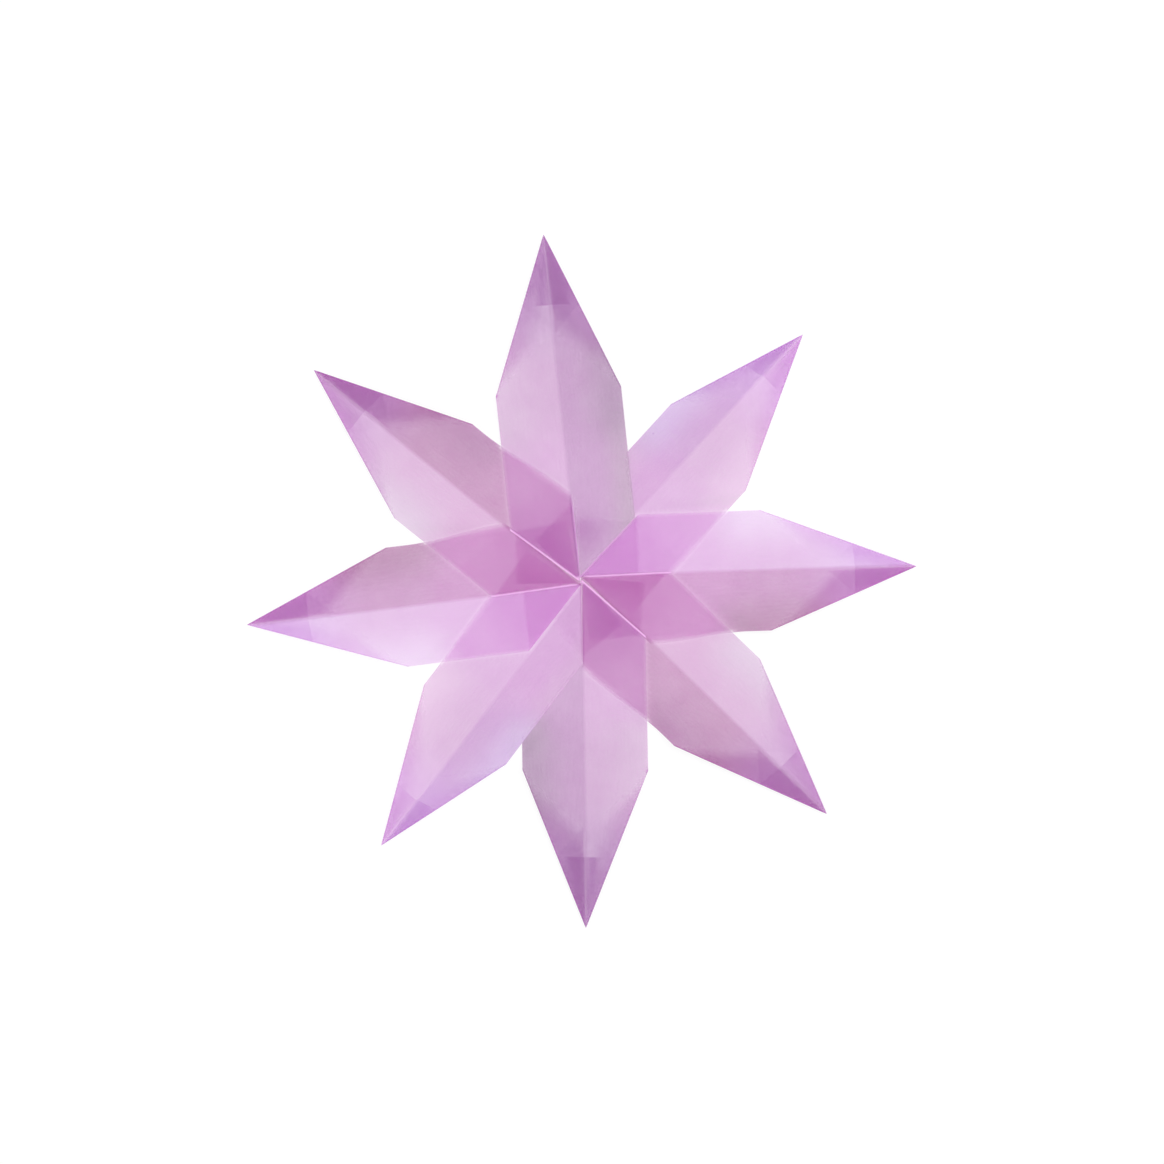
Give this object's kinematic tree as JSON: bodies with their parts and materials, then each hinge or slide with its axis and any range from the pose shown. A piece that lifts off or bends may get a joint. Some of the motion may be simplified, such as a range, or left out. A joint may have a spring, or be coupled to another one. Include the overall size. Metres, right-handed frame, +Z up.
{
  "type": "window star",
  "caption": "Pointed window star of lilac kite paper: each point is a folded strip, and the strips overlap and are glued into a flat rosette.",
  "frame": {"origin": "under the middle of the star's outline, on the surface that it lies on", "axes": "+Z up through the flat star, smooth side up; +Y along the plane of the star, towards the top point"},
  "size_m": [0.2954, 0.306, 0.0043],
  "materials": {
    "kite_paper": "satin"
  },
  "bodies": {
    "root": {"point_upper_right": "kite_paper", "point_right": "kite_paper", "point_lower_right": "kite_paper", "point_bottom": "kite_paper", "point_lower_left": "kite_paper", "point_left": "kite_paper", "point_upper_left": "kite_paper", "point_top": "kite_paper"}
  },
  "joints": []
}
